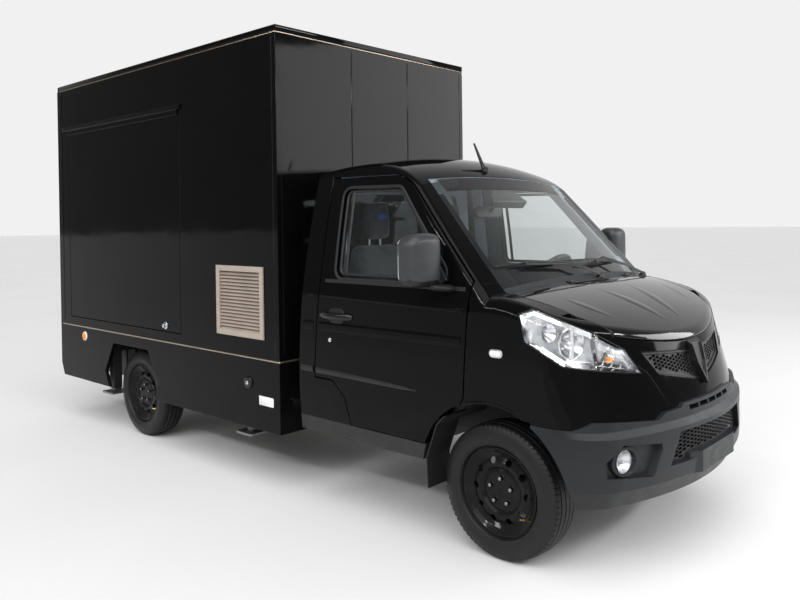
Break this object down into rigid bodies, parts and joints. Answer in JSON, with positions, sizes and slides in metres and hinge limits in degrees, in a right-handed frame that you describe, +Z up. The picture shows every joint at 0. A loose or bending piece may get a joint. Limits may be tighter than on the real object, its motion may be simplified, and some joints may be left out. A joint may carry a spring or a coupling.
{
  "type": "food truck",
  "caption": "Small cab-over food truck: black box kitchen with a lift-up serving hatch, vent, rear door and steady legs behind a short-nosed cab with opening doors and bonnet.",
  "frame": {"origin": "on the ground, in the middle of the overall length and width", "axes": "+X forward, +Y to the vehicle's left, +Z up"},
  "size_m": [4.8999, 2.056, 2.611],
  "materials": {
    "black_paint": "gloss",
    "box_panel": "gloss",
    "grey_plastic": "matte",
    "black_plastic": "matte",
    "chassis_steel": "satin",
    "zinc_steel": "satin",
    "wheel_paint": "gloss",
    "tyre_rubber": "matte",
    "flap_rubber": "matte",
    "clear_glass": "gloss",
    "lamp_lens": "gloss",
    "red_lens": "gloss",
    "seat_fabric": "matte",
    "cab_trim": "matte",
    "cream_plastic": "satin",
    "cast_iron": "matte",
    "floor_ply": "satin"
  },
  "bodies": {
    "truck": {"chassis_rails": "chassis_steel", "cross_beams": "chassis_steel", "engine_block": "cast_iron", "fuel_tank": "black_plastic", "front_suspension": "chassis_steel", "rear_axle": "chassis_steel", "leaf_springs": "chassis_steel", "cab_floor": "chassis_steel", "bulkhead": "chassis_steel", "cab_back_wall": "black_paint", "body_sides": "black_paint", "cab_roof": "black_paint", "windscreen": "clear_glass", "back_window": "clear_glass", "fenders": "black_paint", "scuttle_panel": "grey_plastic", "wipers": "black_plastic", "front_panel": "black_paint", "grilles": "black_plastic", "front_bumper": "grey_plastic", "headlamps": "lamp_lens", "fog_lamps": "lamp_lens", "seats": "seat_fabric", "dashboard": "cab_trim", "steering_wheel": "black_plastic", "mud_flaps": "flap_rubber", "box_floor": "floor_ply", "box_front_wall": "box_panel", "box_left_wall": "box_panel", "box_right_wall": "box_panel", "box_rear_wall": "box_panel", "box_roof": "box_panel", "vent_louvre": "cream_plastic", "side_skirts": "box_panel", "rear_bumper": "chassis_steel", "tail_lamps": "red_lens"},
    "knuckle_right_body": {"knuckle_right": "chassis_steel"},
    "door_right_body": {"door_right": "black_paint", "door_glass_right": "clear_glass", "mirror_right": "grey_plastic"},
    "knuckle_left_body": {"knuckle_left": "chassis_steel"},
    "door_left_body": {"door_left": "black_paint", "door_glass_left": "clear_glass", "mirror_left": "grey_plastic"},
    "wheel_front_right_body": {"wheel_front_right": "wheel_paint", "tyre_front_right": "tyre_rubber"},
    "steady_front_right": {"steady_leg_front_right": "zinc_steel"},
    "wheel_front_left_body": {"wheel_front_left": "wheel_paint", "tyre_front_left": "tyre_rubber"},
    "steady_front_left": {"steady_leg_front_left": "zinc_steel"},
    "wheel_rear_right_body": {"wheel_rear_right": "wheel_paint", "tyre_rear_right": "tyre_rubber"},
    "steady_rear_right": {"steady_leg_rear_right": "zinc_steel"},
    "wheel_rear_left_body": {"wheel_rear_left": "wheel_paint", "tyre_rear_left": "tyre_rubber"},
    "steady_rear_left": {"steady_leg_rear_left": "zinc_steel"},
    "bonnet_body": {"bonnet": "black_paint"},
    "hatch_body": {"serving_hatch": "box_panel"},
    "rear_door_body": {"rear_door": "box_panel"}
  },
  "joints": [
    {"name": "steer_right", "type": "hinge", "parent": "truck", "child": "knuckle_right_body", "pos_m": [1.76, -0.62, 0.304], "axis": [0, 0, 1], "range_deg": [-32, 32]},
    {"name": "steer_left", "type": "hinge", "parent": "truck", "child": "knuckle_left_body", "pos_m": [1.76, 0.62, 0.304], "axis": [0, 0, 1], "range_deg": [-32, 32]},
    {"name": "spin_front_right", "type": "hinge", "parent": "knuckle_right_body", "child": "wheel_front_right_body", "pos_m": [1.76, -0.6725, 0.304], "axis": [0, 1, 0], "continuous": true},
    {"name": "spin_front_left", "type": "hinge", "parent": "knuckle_left_body", "child": "wheel_front_left_body", "pos_m": [1.76, 0.6725, 0.304], "axis": [0, 1, 0], "continuous": true},
    {"name": "spin_rear_right", "type": "hinge", "parent": "truck", "child": "wheel_rear_right_body", "pos_m": [-1.31, -0.6725, 0.304], "axis": [0, 1, 0], "continuous": true},
    {"name": "spin_rear_left", "type": "hinge", "parent": "truck", "child": "wheel_rear_left_body", "pos_m": [-1.31, 0.6725, 0.304], "axis": [0, 1, 0], "continuous": true},
    {"name": "door_right_hinge", "type": "hinge", "parent": "truck", "child": "door_right_body", "pos_m": [1.675, -0.788, 0.9], "axis": [0, 0, 1], "range_deg": [0, 60]},
    {"name": "door_left_hinge", "type": "hinge", "parent": "truck", "child": "door_left_body", "pos_m": [1.675, 0.788, 0.9], "axis": [0, 0, -1], "range_deg": [0, 60]},
    {"name": "bonnet_hinge", "type": "hinge", "parent": "truck", "child": "bonnet_body", "pos_m": [1.827, 0, 1.187], "axis": [0, -1, 0], "range_deg": [0, 50]},
    {"name": "hatch_hinge", "type": "hinge", "parent": "truck", "child": "hatch_body", "pos_m": [-1.433, -0.8535, 2.252], "axis": [-1, 0, 0], "range_deg": [0, 90]},
    {"name": "rear_door_hinge", "type": "hinge", "parent": "truck", "child": "rear_door_body", "pos_m": [-2.42, 0.372, 1.6], "axis": [0, 0, -1], "range_deg": [0, 110]},
    {"name": "leg_front_right", "type": "slide", "parent": "truck", "child": "steady_front_right", "axis": [0, 0, -1], "range_m": [0, 0.235]},
    {"name": "leg_front_left", "type": "slide", "parent": "truck", "child": "steady_front_left", "axis": [0, 0, -1], "range_m": [0, 0.235]},
    {"name": "leg_rear_right", "type": "slide", "parent": "truck", "child": "steady_rear_right", "axis": [0, 0, -1], "range_m": [0, 0.235]},
    {"name": "leg_rear_left", "type": "slide", "parent": "truck", "child": "steady_rear_left", "axis": [0, 0, -1], "range_m": [0, 0.235]}
  ],
  "couplings": [
    {"joint": "steer_left", "follows": "steer_right", "ratio": 1}
  ]
}
